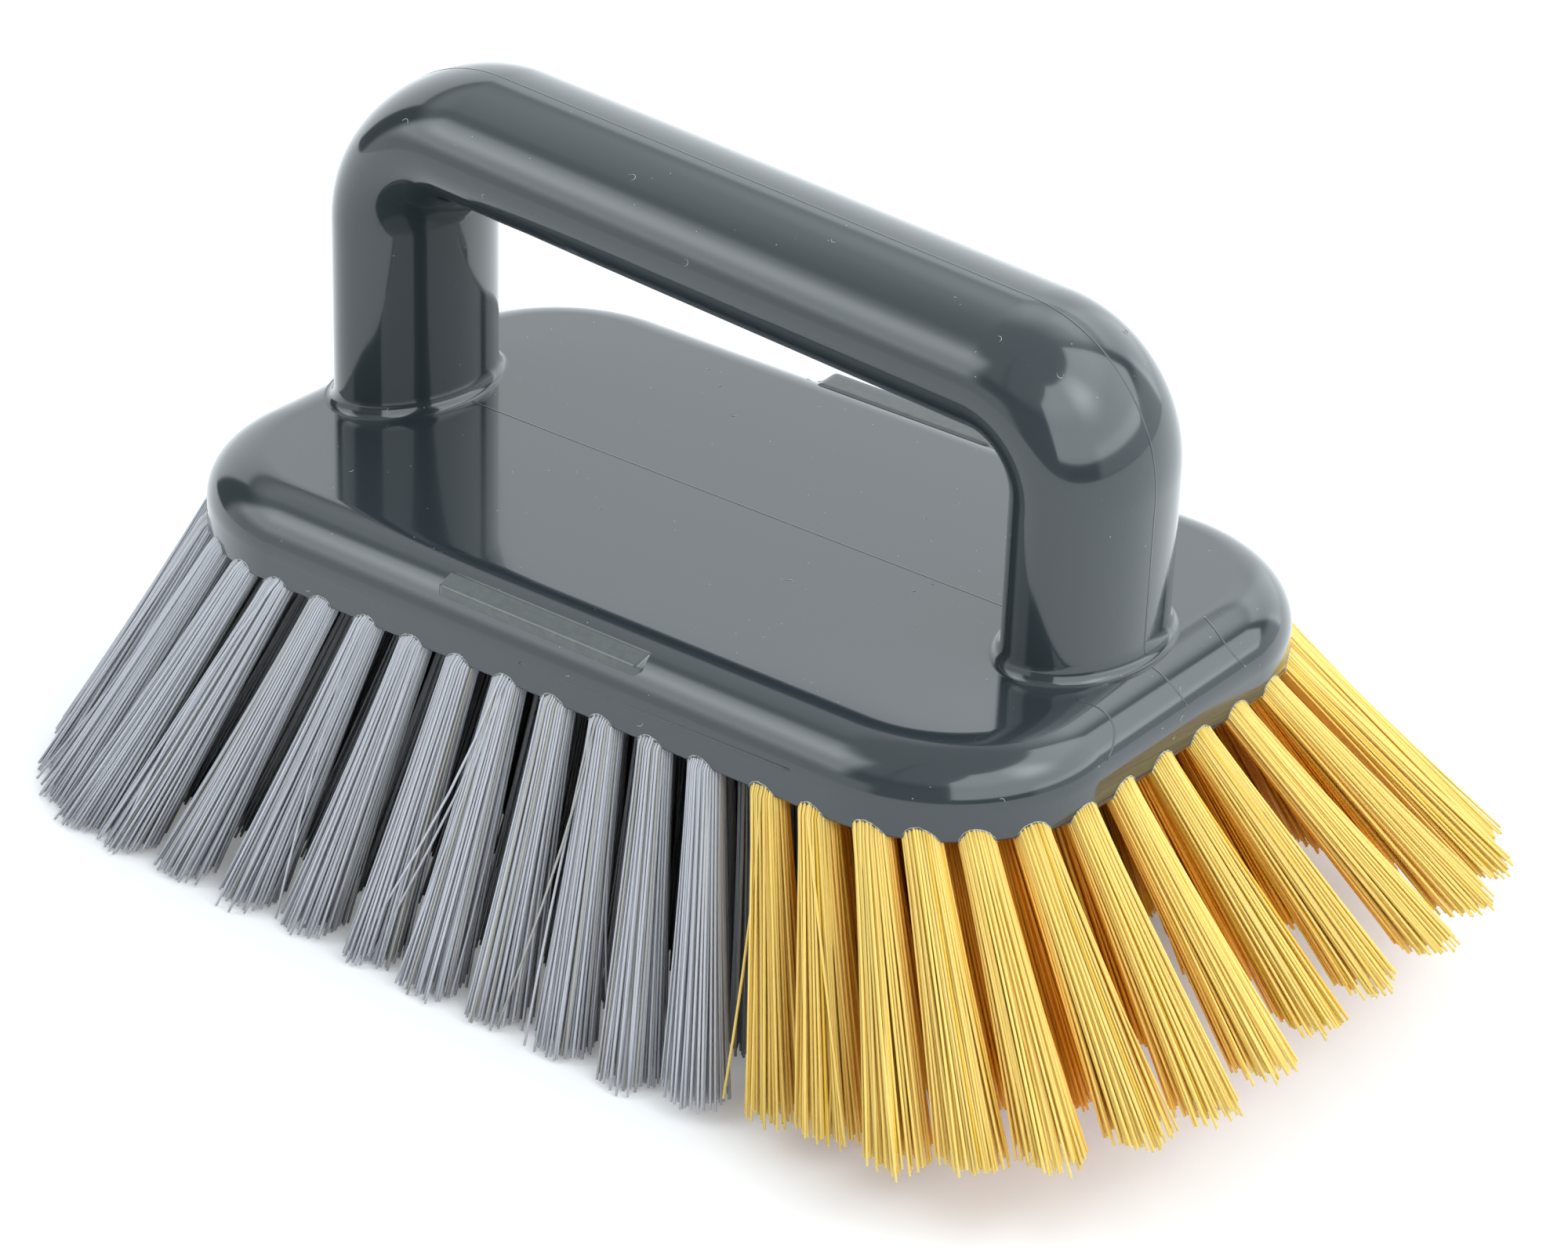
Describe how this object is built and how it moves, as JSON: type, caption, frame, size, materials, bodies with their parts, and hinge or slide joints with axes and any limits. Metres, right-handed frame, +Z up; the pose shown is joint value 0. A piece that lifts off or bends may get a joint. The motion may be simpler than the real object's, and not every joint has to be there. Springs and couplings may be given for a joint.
{
  "type": "laundry stain brush",
  "caption": "Hand brush for laundry stains: rounded block with a D-shaped grip above it and rows of flared grey and yellow bristles below.",
  "frame": {"origin": "on the surface the brush stands on, at the level of the longest bristle tips, below the middle of the whole brush", "axes": "+X along the length, from the grey bristles to the yellow ones; +Y across the block; +Z up, from the bristle tips to the grip"},
  "size_m": [0.1704, 0.1048, 0.0904],
  "materials": {
    "moulding": "glossy injection-moulded dark grey polypropylene",
    "grey_bristle": "drawn light grey filament",
    "yellow_bristle": "drawn yellow filament"
  },
  "bodies": {
    "root": {"handle_block": "moulding", "grey_tuft_row_01": "grey_bristle", "grey_tuft_row_02": "grey_bristle", "grey_tuft_row_03": "grey_bristle", "grey_tuft_row_04": "grey_bristle", "grey_tuft_row_05": "grey_bristle", "grey_tuft_row_06": "grey_bristle", "grey_tuft_row_07": "grey_bristle", "grey_tuft_row_08": "grey_bristle", "grey_tuft_row_09": "grey_bristle", "grey_tuft_row_10": "grey_bristle", "grey_tuft_row_11": "grey_bristle", "grey_tuft_row_12": "grey_bristle", "yellow_tuft_row_01": "yellow_bristle", "yellow_tuft_row_02": "yellow_bristle", "yellow_tuft_row_03": "yellow_bristle", "yellow_tuft_row_04": "yellow_bristle", "yellow_tuft_row_05": "yellow_bristle"}
  },
  "joints": []
}
